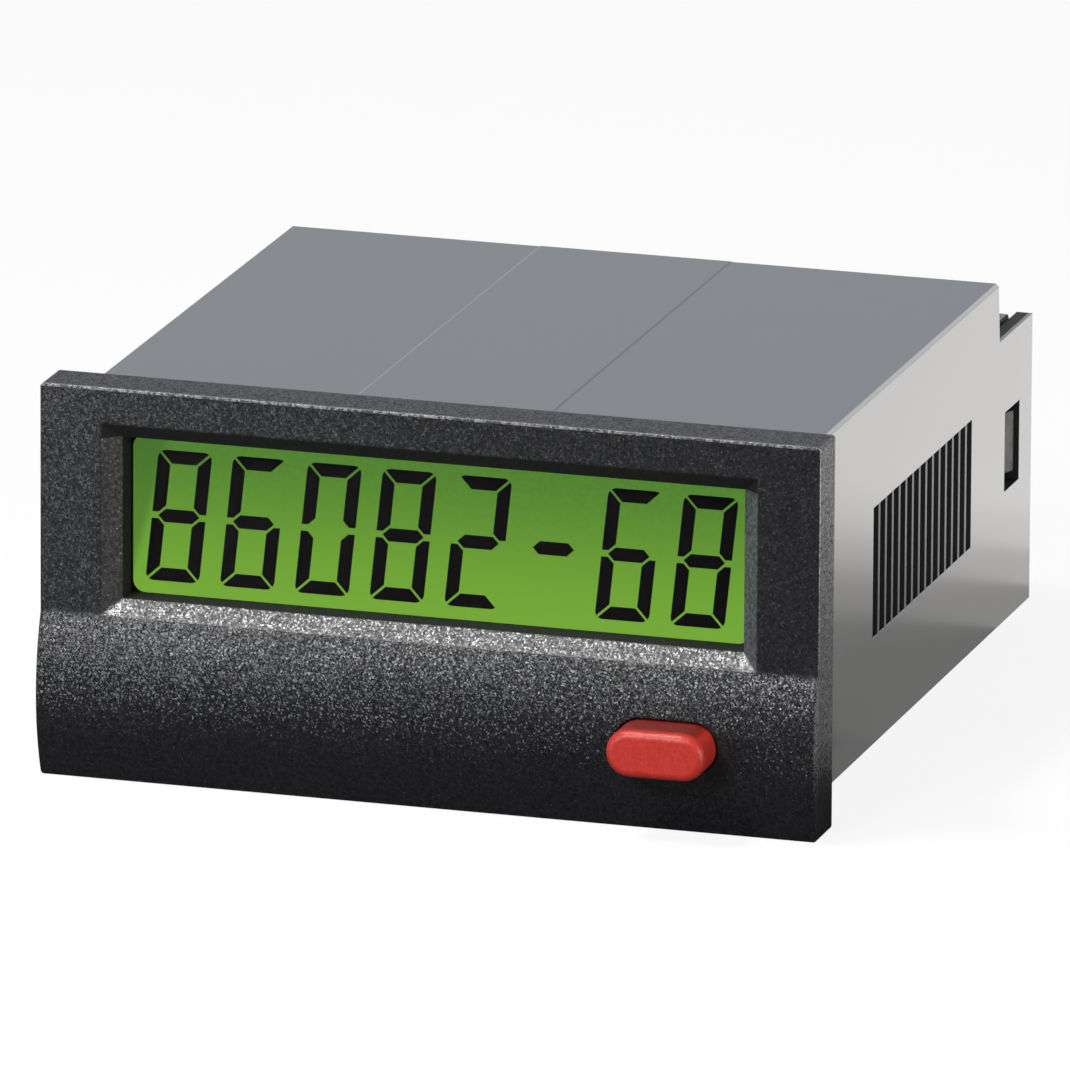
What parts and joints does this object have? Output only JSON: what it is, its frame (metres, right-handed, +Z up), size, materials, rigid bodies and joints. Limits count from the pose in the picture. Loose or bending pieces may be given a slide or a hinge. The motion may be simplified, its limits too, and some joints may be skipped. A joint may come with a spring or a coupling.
{
  "type": "hour meter",
  "caption": "Panel hour meter with a rectangular bezel, bevelled display window, seven-segment liquid crystal display, push button, vented sleeve and rear screw terminals.",
  "frame": {"origin": "centre of the bezel's rear face, in the plane of the panel's front", "axes": "+X to the right as the front is read, +Y into the panel, +Z up"},
  "size_m": [0.048, 0.055, 0.024],
  "materials": {
    "housing_plastic": "dark grey moulded plastic, spark-eroded grain on the front, smooth on the sleeve",
    "clear_window": "clear polished",
    "black_print": "matt print",
    "display_glass": "polished",
    "display_segment": "dark, switched-on liquid crystal",
    "lit_film": "lit green film",
    "acrylic": "clear",
    "white_foil": "white",
    "lamp": "moulded lamp body",
    "white_plastic": "moulded",
    "contact_rubber": "matt",
    "circuit_board": "solder mask",
    "black_plastic": "moulded",
    "bright_metal": "plated",
    "button_red": "satin moulded red",
    "plunger_plastic": "moulded",
    "gilt_metal": "plated",
    "resistor_coat": "lacquer",
    "sleeve_blue": "shrunk plastic sleeve",
    "cover_plastic": "grey moulded plastic"
  },
  "bodies": {
    "meter": {"housing": "housing_plastic", "window_lens": "clear_window", "window_mask": "black_print", "lcd_front_glass": "display_glass", "lcd_segments": "display_segment", "lcd_edge_seal": "black_print", "lcd_rear_glass": "display_glass", "diffuser_film": "lit_film", "light_guide": "acrylic", "reflector_foil": "white_foil", "backlight_leds": "lamp", "display_frame": "white_plastic", "zebra_strip": "contact_rubber", "display_board": "circuit_board", "controller_chip": "black_plastic", "quartz_crystal": "bright_metal", "switch_body": "black_plastic", "board_header": "black_plastic", "header_pins": "gilt_metal", "main_board": "circuit_board", "input_resistors": "resistor_coat", "input_optocoupler": "white_plastic", "filter_capacitors": "sleeve_blue", "battery": "sleeve_blue", "battery_tabs": "bright_metal", "terminal_block": "black_plastic", "wire_clamps": "gilt_metal", "terminal_screws": "bright_metal", "terminal_pins": "bright_metal", "rear_cover": "cover_plastic"},
    "button": {"reset_button": "button_red", "switch_plunger": "plunger_plastic"}
  },
  "joints": [
    {"name": "reset_press", "type": "slide", "parent": "meter", "child": "button", "axis": [0, 1, 0], "range_m": [0, 0.0006], "stiffness_N_per_m": 1600}
  ]
}
